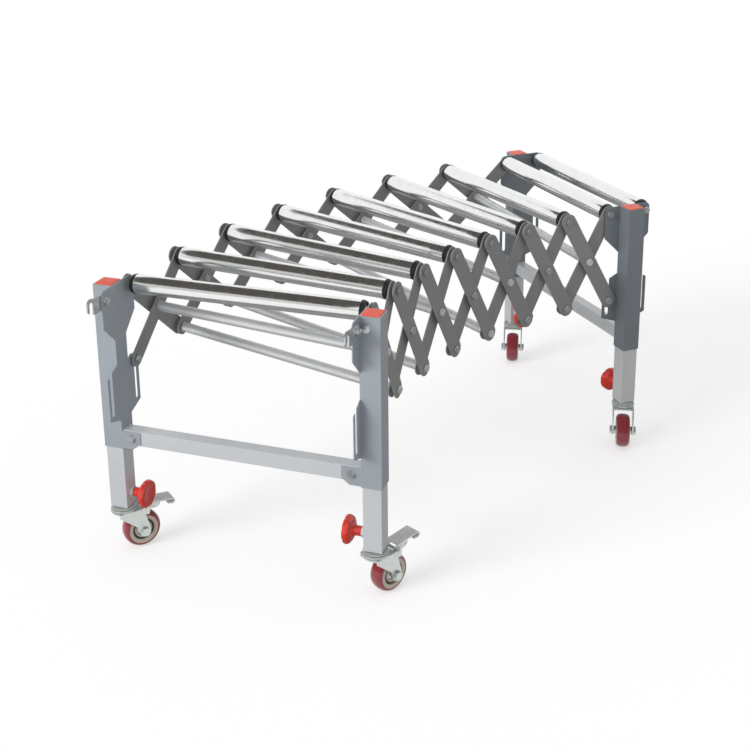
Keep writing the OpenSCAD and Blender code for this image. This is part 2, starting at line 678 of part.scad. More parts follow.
wheel(1, 1, trail_fl);  // wheel_fl
wheel(1, -1, trail_fr);  // wheel_fr
pedal(1, trail_nl, press_nl);  // pedal_nl
pedal(-1, trail_nr, press_nr);  // pedal_nr
hook(1);  // hook_l
hook(-1);  // hook_r
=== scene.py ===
"""Looks of the expandable roller table: finishes, detailed pieces, studio and camera.

Everything is in metres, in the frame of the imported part: X along the table towards the far
frame, Y to its left, Z up, and the floor at Z = 0.
"""

from __future__ import annotations

import logging
import math
from collections.abc import Sequence
from dataclasses import dataclass, field
from enum import Enum

import bmesh
import bpy
from mathutils import Matrix, Vector


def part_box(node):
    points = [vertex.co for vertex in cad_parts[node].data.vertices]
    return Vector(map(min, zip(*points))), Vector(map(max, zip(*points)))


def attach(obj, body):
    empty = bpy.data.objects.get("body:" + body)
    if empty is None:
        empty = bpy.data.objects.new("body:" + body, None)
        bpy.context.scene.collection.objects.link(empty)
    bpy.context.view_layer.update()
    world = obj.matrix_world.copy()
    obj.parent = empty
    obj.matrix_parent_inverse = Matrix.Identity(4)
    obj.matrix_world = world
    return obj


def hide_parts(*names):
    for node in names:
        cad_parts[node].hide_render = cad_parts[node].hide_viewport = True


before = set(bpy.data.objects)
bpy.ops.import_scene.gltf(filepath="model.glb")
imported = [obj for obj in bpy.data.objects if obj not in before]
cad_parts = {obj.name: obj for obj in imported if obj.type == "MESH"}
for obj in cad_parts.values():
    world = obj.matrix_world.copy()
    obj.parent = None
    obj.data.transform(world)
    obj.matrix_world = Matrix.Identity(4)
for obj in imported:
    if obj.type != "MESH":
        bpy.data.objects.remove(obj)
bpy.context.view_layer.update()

LOG = logging.getLogger("roller_table")
MM = 0.001
# Points of a mesh that are closer than this count as one point
MERGE = 0.002 * MM
# Triangles of the part that meet at less than this angle are one flat face
FLAT_DEG = 0.4

# Points of a lathe profile, as radius and distance along the axis, in millimetres
Profile = Sequence[tuple[float, float]]
# Short names for a tree of shader nodes, and for an input or output of a node
Tree = bpy.types.NodeTree
Socket = bpy.types.NodeSocket
# Value of a shader's input: a number, a vector, a colour or another node's output
Input = Socket | float | Sequence[float]


class End(Enum):
    """The two end frames, with the sign of their outward direction along the table."""

    NEAR = -1
    FAR = 1

    @property
    def word(self) -> str:
        """Word that the end's node names start with."""
        return self.name.lower()


class Side(Enum):
    """The two long sides of the table, with the sign of their outward direction."""

    RIGHT = -1
    LEFT = 1


class Shells(Enum):
    """Which solids of a node a copy keeps."""

    ALL = "all"
    LARGE = "large"
    SMALL = "small"


# ---- Finishes


def linear(hex_colour: str, lighter: float = 1.0) -> tuple[float, float, float, float]:
    """Turns an sRGB colour into the linear values that shaders take.

    Args:
        hex_colour: Six hex digits after a hash sign.
        lighter: Factor on the linear values.

    Returns:
        Red, green, blue and an alpha of 1.
    """
    parts = [int(hex_colour[k : k + 2], 16) / 255 for k in (1, 3, 5)]
    curve = [p / 12.92 if p <= 0.04045 else ((p + 0.055) / 1.055) ** 2.4 for p in parts]
    red, green, blue = (min(1.0, c * lighter) for c in curve)
    return red, green, blue, 1.0


def add(
    tree: Tree,
    kind: str,
    sockets: dict[int | str, Input] | None = None,
    **settings: object,
) -> bpy.types.Node:
    """Adds a node to a material or world.

    Args:
        tree: Node tree that gets the node.
        kind: Blender's name for the node's type.
        sockets: Values, or outputs of other nodes, by the input's name or number.
        settings: Properties of the node itself.

    Returns:
        The new node.
    """
    made = tree.nodes.new(kind)
    for name, value in settings.items():
        setattr(made, name, value)
    for key, value in (sockets or {}).items():
        if isinstance(value, Socket):
            tree.links.new(value, made.inputs[key])
        else:
            made.inputs[key].default_value = value
    return made


def empty_material(name: str) -> tuple[bpy.types.Material, Tree]:
    """Makes a material that has no nodes yet.

    Args:
        name: Name of the material.

    Returns:
        The material and its node tree.
    """
    material = bpy.data.materials.new(name)
    material.use_nodes = True
    material.node_tree.nodes.clear()
    return material, material.node_tree


@dataclass(frozen=True)
class Finish:
    """A surface finish. Sizes of its patterns are in millimetres on the real surface.

    The grain is drawn coarser than the real one, which would be too fine to show.
    """

    name: str
    colour: str
    metallic: float = 0.0
    roughness: float = 0.5
    roughness_spread: float = 0.08
    dull_mm: float = 22.0
    clouds_mm: float = 60.0
    clouds_depth: float = 0.12
    grain_mm: float = 1.5
    grain_height_mm: float = 0.02
    rubs: float = 0.0
    rub_mm: float = 9.0
    rub_colour: str = "#ffffff"
    coat: float = 0.0
    coat_roughness: float = 0.1

    def colour_output(self, tree: Tree, place: Socket) -> Socket:
        """Adds the colour pattern: broad clouds, and rubs where the finish is worn.

        Args:
            tree: Node tree of the material.
            place: Vector that the patterns lie on.

        Returns:
            The colour's output socket.
        """
        dark = linear(self.colour, 1 - self.clouds_depth)
        light = linear(self.colour, 1 + self.clouds_depth)
        scale = 1 / (self.clouds_mm * MM)
        sockets = {"Vector": place, "Scale": scale, "Detail": 4.0, "Roughness": 0.6}
        clouds = add(tree, "ShaderNodeTexNoise", sockets)
        sockets = {0: clouds.outputs["Fac"], 6: dark, 7: light}
        tone = add(tree, "ShaderNodeMix", sockets, data_type="RGBA").outputs[2]
        if not self.rubs:
            return tone
        scale = 1 / (self.rub_mm * MM)
        sockets = {"Vector": place, "Scale": scale, "Detail": 6.0, "Roughness": 0.75}
        wander = add(tree, "ShaderNodeTexNoise", sockets)
        sockets = {
            "Value": wander.outputs["Fac"],
            "From Min": 0.60,
            "From Max": 0.74,
            "To Min": 0.0,
            "To Max": self.rubs,
        }
        worn = add(tree, "ShaderNodeMapRange", sockets)
        sockets = {0: worn.outputs["Result"], 6: tone, 7: linear(self.rub_colour)}
        return add(tree, "ShaderNodeMix", sockets, data_type="RGBA").outputs[2]

    def place_output(self, tree: Tree) -> Socket:
        """Adds the coordinates that the patterns lie on.

        Args:
            tree: Node tree of the material.

        Returns:
            The vector's output socket.
        """
        return add(tree, "ShaderNodeTexCoord").outputs["Object"]

    def bump_output(self, tree: Tree, place: Socket) -> Socket:
        """Adds the fine relief of the surface.

        Args:
            tree: Node tree of the material.
            place: Vector that the patterns lie on.

        Returns:
            The normal's output socket.
        """
        sockets = {"Vector": place, "Scale": 1 / (self.grain_mm * MM), "Detail": 2.0}
        grain = add(tree, "ShaderNodeTexNoise", sockets)
        sockets = {
            "Height": grain.outputs["Fac"],
            "Strength": 0.6,
            "Distance": self.grain_height_mm * MM,
        }
        return add(tree, "ShaderNodeBump", sockets).outputs["Normal"]

    def material(self) -> bpy.types.Material:
        """Makes the material once and returns it each time.

        Returns:
            The material.
        """
        found = bpy.data.materials.get(self.name)
        if found is not None:
            return found
        material, tree = empty_material(self.name)
        place = self.place_output(tree)
        sockets = {"Vector": place, "Scale": 1 / (self.dull_mm * MM), "Detail": 3.0}
        patches = add(tree, "ShaderNodeTexNoise", sockets)
        sockets = {
            "Value": patches.outputs["Fac"],
            "From Min": 0.3,
            "From Max": 0.7,
            "To Min": self.roughness - self.roughness_spread,
            "To Max": self.roughness + self.roughness_spread,
        }
        dullness = add(tree, "ShaderNodeMapRange", sockets)
        shader = add(
            tree,
            "ShaderNodeBsdfPrincipled",
            {
                "Base Color": self.colour_output(tree, place),
                "Metallic": self.metallic,
                "Roughness": dullness.outputs["Result"],
                "Normal": self.bump_output(tree, place),
                "Coat Weight": self.coat,
                "Coat Roughness": self.coat_roughness,
            },
        )
        add(tree, "ShaderNodeOutputMaterial", {"Surface": shader.outputs["BSDF"]})
        return material


@dataclass(frozen=True)
class FlakePaint(Finish):
    """Silver powder coat: fine aluminium flakes in a clear, slightly rippled skin."""

    flake_mm: float = 1.1
    flake_depth: float = 0.10
    flake_colour: str = "#f4f6f8"

    def colour_output(self, tree: Tree, place: Socket) -> Socket:
        """Adds the flakes, drawn coarser than the real 0.05 mm ones so that they show.

        Args:
            tree: Node tree of the material.
            place: Vector that the patterns lie on.

        Returns:
            The colour's output socket.
        """
        base = super().colour_output(tree, place)
        sockets = {"Vector": place, "Scale": 1 / (self.flake_mm * MM)}
        cells = add(tree, "ShaderNodeTexVoronoi", sockets)
        sockets = {
            "Value": cells.outputs["Distance"],
            "From Min": 0.0,
            "From Max": 0.9,
            "To Min": self.flake_depth,
            "To Max": 0.0,
        }
        glint = add(tree, "ShaderNodeMapRange", sockets)
        sockets = {0: glint.outputs["Result"], 6: base, 7: linear(self.flake_colour)}
        return add(tree, "ShaderNodeMix", sockets, data_type="RGBA").outputs[2]


@dataclass(frozen=True)
class PlatedTube(Finish):
    """Bright plated tube: marks run round it from grinding and along it from drawing."""

    draw_mm: float = 3.0
    draw_length_mm: float = 90.0
    draw_height_mm: float = 0.03
    ring_length_mm: float = 40.0

    def place_output(self, tree: Tree) -> Socket:
        """Takes the wrapped coordinates of the tube, round it and along it."""
        return add(tree, "ShaderNodeUVMap", uv_map="wrap").outputs["UV"]

    def bump_output(self, tree: Tree, place: Socket) -> Socket:
        """Adds long shallow waves from drawing the tube, over fine rings from grinding it.

        Args:
            tree: Node tree of the material.
            place: Wrapped coordinates of the tube.

        Returns:
            The normal's output socket.
        """
        waves = self.streaks(tree, place, self.draw_mm, self.draw_length_mm, 3.0)
        rings = self.streaks(tree, place, self.ring_length_mm, self.grain_mm, 2.0)
        shallow = add(
            tree,
            "ShaderNodeBump",
            {"Height": waves, "Strength": 0.5, "Distance": self.draw_height_mm * MM},
        )
        sockets = {
            "Height": rings,
            "Strength": 0.5,
            "Distance": self.grain_height_mm * MM,
            "Normal": shallow.outputs["Normal"],
        }
        return add(tree, "ShaderNodeBump", sockets).outputs["Normal"]

    def streaks(
        self,
        tree: Tree,
        place: Socket,
        round_mm: float,
        along_mm: float,
        detail: float,
    ) -> Socket:
        """Adds noise that is drawn out one way.

        Args:
            tree: Node tree of the material.
            place: Wrapped coordinates of the tube.
            round_mm: Size of the marks round the tube.
            along_mm: Size of the marks along the tube.
            detail: Number of finer layers over them.

        Returns:
            The pattern's output, from 0 to 1.
        """
        scale = (1 / (round_mm * MM), 1 / (along_mm * MM), 1.0)
        drawn = add(tree, "ShaderNodeMapping", {"Vector": place, "Scale": scale})
        sockets = {"Vector": drawn.outputs["Vector"], "Scale": 1.0, "Detail": detail}
        return add(tree, "ShaderNodeTexNoise", sockets).outputs["Fac"]


# Powder coat on the brackets of the near frame: satin, with a slight metallic glitter
POST_PAINT = FlakePaint(
    "silver_grey_powder_coat", "#a5adb5", metallic=0.15, roughness=0.42, clouds_depth=0.05,
    coat=0.15, coat_roughness=0.3,
)
# The same coat on the far frame, with its colour darkened: painted shade for the dimmer light on
# the far end
FAR_PAINTED_SHADE_COAT = FlakePaint(
    "far_frame_painted_shade_coat", "#777e85", metallic=0.15, roughness=0.42, clouds_depth=0.05, coat=0.15,
    coat_roughness=0.3,
)
# Pale powder coat on the leg tubes and crossbars: nearly white in the light
LEG_PAINT = FlakePaint(
    "pale_silver_powder_coat", "#d6d9dc", metallic=0.15, roughness=0.38, clouds_depth=0.04,
    coat=0.2, coat_roughness=0.25,
)
# Mid grey powder coat on the lattice arms, with a few rubbed spots
ARM_PAINT = FlakePaint(
    "mid_grey_powder_coat", "#8f8f8f", metallic=0.1, roughness=0.42, clouds_depth=0.07, rubs=0.15,
    rub_colour="#a9acae",
)
# Bright zinc plate on drawn tube: mirror-like, with a faint ripple
ROLLER_PLATE = PlatedTube(
    "bright_zinc_plated_tube", "#eff0f0", metallic=1.0, roughness=0.18, roughness_spread=0.06,
    clouds_mm=30, clouds_depth=0.08, grain_mm=1.2, grain_height_mm=0.015,
)
# Barrel-plated zinc on bolts, bearings, hooks and sliding legs: pale, slightly cloudy
ZINC = Finish(
    "zinc_plated_steel", "#cfd2d4", metallic=0.85, roughness=0.26, clouds_mm=12, clouds_depth=0.12,
    grain_mm=0.9, grain_height_mm=0.015, rubs=0.25, rub_colour="#989b9d",
)
# Satin zinc on the drawn tie tubes, with very few marks
TUBE_ZINC = Finish(
    "satin_zinc_tube", "#e6e8ea", metallic=0.55, roughness=0.38, clouds_mm=30, clouds_depth=0.06,
    grain_mm=5.0, grain_height_mm=0.02, rubs=0.08, rub_colour="#b4b7b9",
)
# Bright zinc on the pressed forks and the swivel rings, slightly cool in tone
FORK_ZINC = Finish(
    "bright_zinc_pressed_steel", "#d6dcd8", metallic=0.75, roughness=0.28, clouds_mm=16,
    clouds_depth=0.1, grain_mm=1.4, grain_height_mm=0.02, rubs=0.25, rub_colour="#a7abab",
)
# Brushed zinc on the brake pedals: paler and less of a mirror than the forks
PEDAL_ZINC = Finish(
    "brushed_zinc_pressed_steel", "#f0f4f1", metallic=0.2, roughness=0.3, clouds_mm=14,
    clouds_depth=0.12, grain_mm=1.0, grain_height_mm=0.03, rubs=0.25, rub_colour="#b4b9b7",
)
# Moulded post caps: orange-red, nearly matt
RED_CAP = Finish(
    "red_polypropylene", "#fa5f45", roughness=0.42, clouds_mm=18, clouds_depth=0.07, grain_mm=0.8,
    grain_height_mm=0.02,
)
# Moulded knob heads: bright red, under a glossy skin
RED_KNOB = Finish(
    "red_moulded_nylon", "#e4311e", roughness=0.2, clouds_mm=14, clouds_depth=0.10, grain_mm=1.0,
    grain_height_mm=0.03, coat=0.7,
)
# Moulded bearing caps in the ends of the rollers: black, not glossy
BLACK_NYLON = Finish(
    "black_moulded_nylon", "#1d1e20", roughness=0.48, clouds_mm=9, clouds_depth=0.25, grain_mm=0.7,
    grain_height_mm=0.03, rubs=0.12, rub_colour="#5a5c5f",
)
# Cast tread of the wheels: maroon and glossy, with paler scuffs
TREAD = Finish(
    "cast_polyurethane", "#8f2632", roughness=0.2, clouds_mm=12, clouds_depth=0.14, grain_mm=1.6,
    grain_height_mm=0.04, rubs=0.22, rub_colour="#a25c62", coat=0.5,
)
# Dark rings in the grooves of the wheels: painted shade that darkens the grooves, dull and nearly
# black
DARK_GROOVE_SHADE = Finish(
    "wheel_groove_painted_shade", "#3f3d33", roughness=0.5, clouds_mm=8, clouds_depth=0.2, grain_mm=0.8,
    grain_height_mm=0.03,
)
# Moulded body of the wheels: cream, with dusty spots
HUB_PLASTIC = Finish(
    "cream_polypropylene", "#d9cdbf", roughness=0.46, clouds_mm=10, clouds_depth=0.08, grain_mm=0.9,
    grain_height_mm=0.03, rubs=0.2, rub_colour="#a39a8e",
)


# ---- Mesh helpers


def piece(
    name: str,
    mesh: bmesh.types.BMesh,
    finish: Finish,
    body: str,
    nodes: Sequence[str] = (),
    smooth_deg: float = 32.0,
    edge_mm: float = 0.0,
) -> None:
    """Makes an object of a finished mesh, dresses it and hangs it on its body.

    Args:
        name: Name of the piece.
        mesh: Its mesh, in place. It is freed.
        finish: Finish of the whole piece.
        body: Body of the part that it moves with.
        nodes: Nodes of the part that it stands for.
        smooth_deg: Edges sharper than this stay sharp.
        edge_mm: Rounding of its sharp edges, or 0 for none.
    """
    data = bpy.data.meshes.new(name)
    mesh.to_mesh(data)
    mesh.free()
    data.shade_smooth()
    data.set_sharp_from_angle(angle=math.radians(smooth_deg))
    data.materials.append(finish.material())
    made = link(bpy.data.objects.new(name, data))
    if edge_mm:
        rounding = made.modifiers.new("edges", "BEVEL")
        rounding.width = edge_mm * MM
        rounding.segments = 2
        rounding.limit_method = "ANGLE"
        rounding.angle_limit = math.radians(smooth_deg)
        rounding.use_clamp_overlap = True
        rounding.harden_normals = True
    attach(made, body)
    if nodes:
        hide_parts(*nodes)
    LOG.info("%s: %d faces on %s", name, len(data.polygons), body)


def node_copy(
    node: str, shells: Shells = Shells.ALL, large_mm: float = 0.0
) -> bmesh.types.BMesh:
    """Copies a node of the part, with its loose triangles merged into clean faces.

    Args:
        node: Name of the node.
        shells: Which of its solids to keep.
        large_mm: Size from which a solid counts as large.

    Returns:
        The mesh, in place.
    """
    mesh = bmesh.new()
    mesh.from_mesh(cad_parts[node].data)
    bmesh.ops.remove_doubles(mesh, verts=mesh.verts, dist=MERGE)
    if shells is not Shells.ALL:
        dropped = []
        for shell in solids_of(mesh):
            corners = [v.co for f in shell for v in f.verts]
            size = (Vector(map(max, *corners)) - Vector(map(min, *corners))).length
            if (size >= large_mm * MM) != (shells is Shells.LARGE):
                dropped += shell
        bmesh.ops.delete(mesh, geom=dropped, context="FACES")
    flat = math.radians(FLAT_DEG)
    bmesh.ops.dissolve_limit(mesh, angle_limit=flat, verts=mesh.verts, edges=mesh.edges)
    return mesh


def solids_of(mesh: bmesh.types.BMesh) -> list[list[bmesh.types.BMFace]]:
    """Groups the faces of a mesh by the solid that they belong to.

    Args:
        mesh: Mesh of several separate solids.

    Returns:
        One list of faces for each solid.
    """
    seen: set[bmesh.types.BMFace] = set()
    groups = []
    for first in mesh.faces:
        if first in seen:
            continue
        seen.add(first)
        group, waiting = [], [first]
        while waiting:
            face = waiting.pop()
            group.append(face)
            for edge in face.edges:
                for other in edge.link_faces:
                    if other not in seen:
                        seen.add(other)
                        waiting.append(other)
        groups.append(group)
    return groups


def link(made: bpy.types.Object) -> bpy.types.Object:
    """Puts an object in the scene and returns it."""
    bpy.context.scene.collection.objects.link(made)
    return made


def mirrored(profile: Profile) -> Profile:
    """Mirrors a profile in its middle plane, and runs through it the other way."""
    return [(radius, -along) for radius, along in reversed(profile)]


def turn(
    mesh: bmesh.types.BMesh, profile: Profile, steps: int = 72, closed: bool = True
) -> None:
    """Turns a profile round the local Y axis, as on a lathe.

    Args:
        mesh: Mesh that gets the turned piece.
        profile: Points of the profile.
        steps: Number of steps of the full turn.
        closed: Whether the last point joins the first.
    """
    points = [mesh.verts.new((r * MM, y * MM, 0)) for r, y in profile]
    pairs = list(zip(points, points[1:] + ([points[0]] if closed else [])))
    edges = [mesh.edges.new(pair) for pair in pairs]
    bmesh.ops.spin(
        mesh,
        geom=points + edges,
        cent=(0, 0, 0),
        axis=(0, 1, 0),
        angle=math.tau,
        steps=steps,
        use_merge=True,
    )
    bmesh.ops.remove_doubles(mesh, verts=mesh.verts, dist=MERGE)
    bmesh.ops.recalc_face_normals(mesh, faces=mesh.faces)


def wrap(mesh: bmesh.types.BMesh, radius_mm: float) -> None:
    """Gives a turned piece coordinates in metres: round it, and along Y.

    Args:
        mesh: The piece, not yet placed.
        radius_mm: Radius at which one unit round it is a metre.
    """
    layer = mesh.loops.layers.uv.new("wrap")
    for face in mesh.faces:
        middle = face.calc_center_median()
        home = math.atan2(middle.z, middle.x)
        for loop in face.loops:
            angle = math.atan2(loop.vert.co.z, loop.vert.co.x)
            angle += math.tau * round((home - angle) / math.tau)
            loop[layer].uv = (angle * radius_mm * MM, loop.vert.co.y)


def place(mesh: bmesh.types.BMesh, matrix: Matrix) -> None:
    """Moves a whole mesh into place, and turns its faces outwards again if that mirrored it.

    Args:
        mesh: The mesh.
        matrix: Its place.
    """
    bmesh.ops.transform(mesh, matrix=matrix, verts=mesh.verts)
    if matrix.determinant() < 0:
        bmesh.ops.reverse_faces(mesh, faces=mesh.faces)


# ---- Layout


@dataclass(frozen=True)
class Layout:
    """Frames of reference of the curved table, as the part has them. Lengths are in metres."""

    pitch: float = 143 * MM
    bend: float = math.radians(6.9)
    bays: int = 7
    axle_h: float = 550 * MM
    post_in: float = 25 * MM
    post_w: float = 40 * MM
    leg_y: float = 263.5 * MM
    leg_drop: float = 449 * MM

    @property
    def rho(self) -> float:
        """Radius of the table's middle line."""
        return self.pitch / (2 * math.sin(self.bend / 2))

    @property
    def post_mid(self) -> float:
        """Distance from a frame's axle to the middle of its posts."""
        return self.post_in + self.post_w / 2

    def station_angle(self, number: int) -> float:
        """Angle of a station on the curve."""
        return (number - (self.bays + 2) / 2) * self.bend

    def centre(self) -> Vector:
        """Finds the centre of the curve from where the part has its first roller.

        Returns:
            The centre, at axle height.
        """
        low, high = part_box("roller_1")
        angle = self.station_angle(1)
        first = (low + high) / 2
        x = first.x - self.rho * math.sin(angle)
        y = first.y - self.rho * math.cos(angle)
        return Vector((x, y, self.axle_h))

    def at_station(self, number: int) -> Matrix:
        """Frame of a station, with its origin on the middle line at axle height."""
        turned = Matrix.Rotation(-self.station_angle(number), 4, "Z")
        return Matrix.Translation(self.centre()) @ turned @ Matrix.Translation((0, self.rho, 0))

    def at_frame(self, end: End) -> Matrix:
        """Frame of an end frame, with X outwards along the table."""
        station = self.at_station(1 if end is End.NEAR else self.bays + 1)
        return station @ Matrix.Scale(end.value, 4, (1, 0, 0))

    def at_post(self, end: End, side: Side) -> Matrix:
        """Frame of one post, with X outwards along the table and Y outwards to the side."""
        return self.at_frame(end) @ Matrix.Scale(side.value, 4, (0, 1, 0))

    def at_caster(self, end: End, side: Side, turn_deg: float) -> Matrix:
        """Frame of a caster at floor height, with X towards the side where it trails.

        Args:
            end: End frame that it stands under.
            side: Side of the table.
            turn_deg: Direction in which it trails.

        Returns:
            The frame.
        """
        post = self.at_post(end, side) @ Vector((self.post_mid, self.leg_y, 0))
        turned = Matrix.Rotation(math.radians(turn_deg), 4, "Z")
        return Matrix.Translation((post.x, post.y, 0)) @ turned


LAYOUT = Layout()
# End, side and direction in which the caster trails at rest, in degrees, for each corner
CORNERS = {
    "nl": (End.NEAR, Side.LEFT, 345.0),
    "nr": (End.NEAR, Side.RIGHT, 357.0),
    "fl": (End.FAR, Side.LEFT, 215.0),
    "fr": (End.FAR, Side.RIGHT, 215.0),
}
# How far each brake pedal is pressed at rest, in degrees; the far casters have none
PRESSED = {"nl": 11.0, "nr": 0.0}


# ---- Sub-assemblies. Sizes in their fields are in millimetres and degrees


@dataclass
class EndFrame:
    """One of the two end frames: brackets, leg tubes, crossbar, post caps and bolts."""

    end: End
    cap_w: float = 35.2
    cap_h: float = 1.6
    cap_corner: float = 3.0
    cap_round: float = 0.9
    plug_w: float = 31.4
    plug_h: float = 12.0
    post_rise: float = 16.5

    @property
    def body(self) -> str:
        """Body that the frame's pieces ride on."""
        return f"{self.end.word}_frame"

    def copies(self) -> None:
        """Dresses the pressed, welded and bolted pieces."""
        word = self.end.word
        # The far frame takes the darkened copy of the coat: painted shade
        paint = POST_PAINT if self.end is End.NEAR else FAR_PAINTED_SHADE_COAT
        rows = [
            ("brackets", paint, 0.7, f"{word}_bracket_steel"),
            ("legs", LEG_PAINT, 0.9, "leg_tube_steel"),
            ("crossbar", LEG_PAINT, 1.2, "crossbar_steel"),
            ("bolts", ZINC, 0.4, "zinc_steel"),
        ]
        for part, finish, edge, slot in rows:
            node = f"{word}_{part}"
            mesh = node_copy(node)
            piece(f"{node}_dressed", mesh, finish, self.body, [node], edge_mm=edge)

    @staticmethod
    def is_upright(edge: bmesh.types.BMEdge) -> bool:
        """Whether an edge's ends differ in height."""
        low, high = (vert.co.z for vert in edge.verts)
        return abs(low - high) > MERGE

    @staticmethod
    def round_off(
        mesh: bmesh.types.BMesh,
        edges: Sequence[bmesh.types.BMEdge],
        radius: float,
        steps: int,
    ) -> None:
        """Rounds some edges of a mesh.

        Args:
            mesh: The mesh.
            edges: Edges to round.
            radius: Radius of the rounding, in millimetres.
            steps: Number of faces across it.
        """
        bmesh.ops.bevel(
            mesh,
            geom=edges,
            offset=radius * MM,
            offset_type="OFFSET",
            affect="EDGES",
            segments=steps,
            profile=0.5,
            material=-1,
        )

    def caps(self) -> None:
        """Moulds the two post caps: a plug with a low pillow-shaped head."""
        mesh = bmesh.new()
        for side in Side:
            head = bmesh.new()
            width, height = self.cap_w * MM, self.cap_h * MM
            size = Matrix.Diagonal((width, width, height, 1))
            lift = Matrix.Translation((0, 0, height / 2))
            bmesh.ops.create_cube(head, size=1, matrix=lift @ size)
            upright = [e for e in head.edges if self.is_upright(e)]
            self.round_off(head, upright, self.cap_corner, 5)
            top = [e for e in head.edges if min(v.co.z for v in e.verts) > 0.9 * height]
            self.round_off(head, top, self.cap_round, 4)
            width, height = self.plug_w * MM, self.plug_h * MM
            size = Matrix.Diagonal((width, width, height, 1))
            sink = Matrix.Translation((0, 0, -height / 2))
            bmesh.ops.create_cube(head, size=1, matrix=sink @ size)
            rise = Vector((LAYOUT.post_mid, LAYOUT.leg_y, self.post_rise * MM))
            spot = LAYOUT.at_post(self.end, side) @ Matrix.Translation(rise)
            place(head, spot)
            shape = bpy.data.meshes.new("cap")
            head.to_mesh(shape)
            head.free()
            mesh.from_mesh(shape)
            bpy.data.meshes.remove(shape)
        node = f"{self.end.word}_caps"
        piece(f"{node}_moulded", mesh, RED_CAP, self.body, [node])

    def build(self) -> None:
        """Builds the whole frame."""
        self.copies()
        self.caps()


@dataclass
class Lattice:
    """The scissor lattice: painted arms, zinc pivot bolts and the tubes that tie its sides.

    A solid of an arm's node that is at least strap_mm long is a strap, a smaller one is a bolt.
    """

    strap_mm: float = 200.0
    ties: dict[str, str] = field(
        default_factory=lambda: {
            "tie_c1": "pair_a1",
            "tie_c3": "pair_a3",
            "tie_c5": "pair_a5",
            "tie_c7": "pair_a7",
            "tie_b1": "pair_a1",
            "tie_b2": "pair_a2",
            "tie_b4": "pair_a4",
        }
    )

    def arms(self) -> None:
        """Dresses each pair of arms, and the bolts that it carries."""
        for row in "ab":
            for bay in range(1, LAYOUT.bays + 1):
                node, body = f"arms_{row}{bay}", f"pair_{row}{bay}"
                straps = node_copy(node, Shells.LARGE, self.strap_mm)
                piece(f"{node}_straps", straps, ARM_PAINT, body, [node], edge_mm=0.4)
                bolts = node_copy(node, Shells.SMALL, self.strap_mm)
                if bolts.faces:
                    piece(f"{node}_bolts", bolts, ZINC, body, [node], edge_mm=0.35)
                else:
                    bolts.free()

    def tubes(self) -> None:
        """Dresses the tie tubes."""
        for node, body in self.ties.items():
            mesh = node_copy(node)
            piece(f"{node}_dressed", mesh, TUBE_ZINC, body, [node], edge_mm=0.35)

    def build(self) -> None:
        """Builds the whole lattice."""
        self.arms()
        self.tubes()


@dataclass
class Roller:
    """One roller: a plated tube with a bearing cap in each end."""

    number: int
    diameter: float = 38.0
    wall: float = 1.5
    half: float = 235.7
    cap_len: float = 9.0
    bore: float = 4.05
    rolled_edge: float = 0.7
    tube_rows: int = 12
    second_axle: float = 90.0

    @property
    def node(self) -> str:
        """Node and body of the roller, which have one name."""
        return f"roller_{self.number}"

    @property
    def spot(self) -> Matrix:
        """Place of the roller.

        Returns:
            Its frame, with the axis along Y.
        """
        if self.number <= LAYOUT.bays + 1:
            return LAYOUT.at_station(self.number)
        return LAYOUT.at_frame(End.FAR) @ Matrix.Translation((self.second_axle * MM, 0, 0))

    def tube(self) -> None:
        """Turns the tube, with its edges rolled in over the caps."""
        r, end = self.diameter / 2, self.half - self.cap_len
        mesh = bmesh.new()
        start = self.rolled_edge - end
        rim = [(r - self.wall, -end), (r - 0.5, -end), (r - 0.15, -end + 0.2), (r, start)]
        steps = [(r, start - k * 2 * start / self.tube_rows) for k in range(1, self.tube_rows)]
        turn(mesh, rim + steps + mirrored(rim), steps=96)
        wrap(mesh, r)
        node = self.node
        place(mesh, self.spot)
        piece(f"{node}_tube", mesh, ROLLER_PLATE, node, [node])

    def caps(self) -> None:
        """Turns the black bearing caps, and the steel races that show in them."""
        r, half, y0 = self.diameter / 2, self.half, self.half - self.cap_len
        caps, races = bmesh.new(), bmesh.new()
        inner, bore = r - self.wall, self.bore
        housing = [
            (14.0, y0 - 8), (inner, y0 - 8), (inner, y0), (r + 0.1, y0), (r + 0.5, y0 + 0.6),
            (r + 0.5, y0 + 2.4), (r - 0.4, y0 + 3.0), (r - 0.4, half - 3.4), (r - 1.4, half - 1.0),
            (r - 2.6, half), (14.2, half), (13.6, half - 0.6), (13.6, half - 2.2),
            (12.0, half - 2.6), (12.0, y0 - 8),
        ]
        race = [
            (bore, y0 - 6), (11.9, y0 - 6), (11.9, half - 3.0), (10.4, half - 2.6),
            (9.9, half - 3.2), (7.4, half - 3.2), (7.0, half - 2.4), (6.4, half - 2.0),
            (bore + 0.4, half - 2.0), (bore, half - 2.4),
        ]
        for sign in (-1, 1):
            for mesh, profile in ((caps, housing), (races, race)):
                turn(mesh, [(a, sign * b) for a, b in profile], steps=64)
        node = self.node
        for mesh in (caps, races):
            place(mesh, self.spot)
        piece(f"{node}_caps", caps, BLACK_NYLON, node, [node], smooth_deg=40)
        piece(f"{node}_bearings", races, ZINC, node, [node], smooth_deg=40)

    def build(self) -> None:
        """Builds the whole roller."""
        self.tube()
        self.caps()


